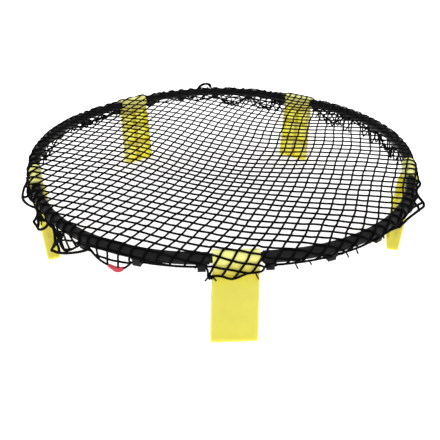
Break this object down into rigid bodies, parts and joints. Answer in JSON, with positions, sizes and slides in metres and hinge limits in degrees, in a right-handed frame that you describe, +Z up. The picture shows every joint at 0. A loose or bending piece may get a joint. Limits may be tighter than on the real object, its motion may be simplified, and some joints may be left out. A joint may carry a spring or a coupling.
{
  "type": "roundnet",
  "caption": "Low round net stretched over a ring of plugged tubes on fold-in legs, with hooks under the ring that hold the net's edge cord.",
  "frame": {"origin": "on the floor under the middle of the whole part", "axes": "+Z up, leg 1 at -Y, legs numbered counter-clockwise seen from above"},
  "size_m": [0.9256, 0.9274, 0.2078],
  "materials": {
    "tube": "satin",
    "leg": "satin",
    "net": "matte",
    "cord": "matte",
    "tag": "matte"
  },
  "bodies": {
    "rim": {"rim_tube_1": "tube", "rim_tube_2": "tube", "rim_tube_3": "tube", "rim_tube_4": "tube", "rim_tube_5": "tube", "net_bed": "net", "net_skirt_1": "net", "net_skirt_2": "net", "net_skirt_3": "net", "net_skirt_4": "net", "net_skirt_5": "net", "net_lap_1": "net", "net_lap_2": "net", "net_lap_3": "net", "net_lap_4": "net", "net_lap_5": "net", "edge_cord": "cord", "cord_knot": "cord", "marker_tag": "tag"},
    "folding_leg_1": {"leg_1": "leg"},
    "folding_leg_2": {"leg_2": "leg"},
    "folding_leg_3": {"leg_3": "leg"},
    "folding_leg_4": {"leg_4": "leg"},
    "folding_leg_5": {"leg_5": "leg"}
  },
  "joints": [
    {"name": "leg_fold_1", "type": "hinge", "parent": "rim", "child": "folding_leg_1", "pos_m": [0, -0.44396, 0.191], "axis": [1, 0, 0], "range_deg": [0, 85]},
    {"name": "leg_fold_2", "type": "hinge", "parent": "rim", "child": "folding_leg_2", "pos_m": [0.41751, -0.14062, 0.191], "axis": [0.309, 0.9511, 0], "range_deg": [0, 85]},
    {"name": "leg_fold_3", "type": "hinge", "parent": "rim", "child": "folding_leg_3", "pos_m": [0.25804, 0.3502, 0.191], "axis": [-0.809, 0.5878, 0], "range_deg": [0, 85]},
    {"name": "leg_fold_4", "type": "hinge", "parent": "rim", "child": "folding_leg_4", "pos_m": [-0.25804, 0.3502, 0.191], "axis": [-0.809, -0.5878, 0], "range_deg": [0, 85]},
    {"name": "leg_fold_5", "type": "hinge", "parent": "rim", "child": "folding_leg_5", "pos_m": [-0.41751, -0.14062, 0.191], "axis": [0.309, -0.9511, 0], "range_deg": [0, 85]}
  ]
}
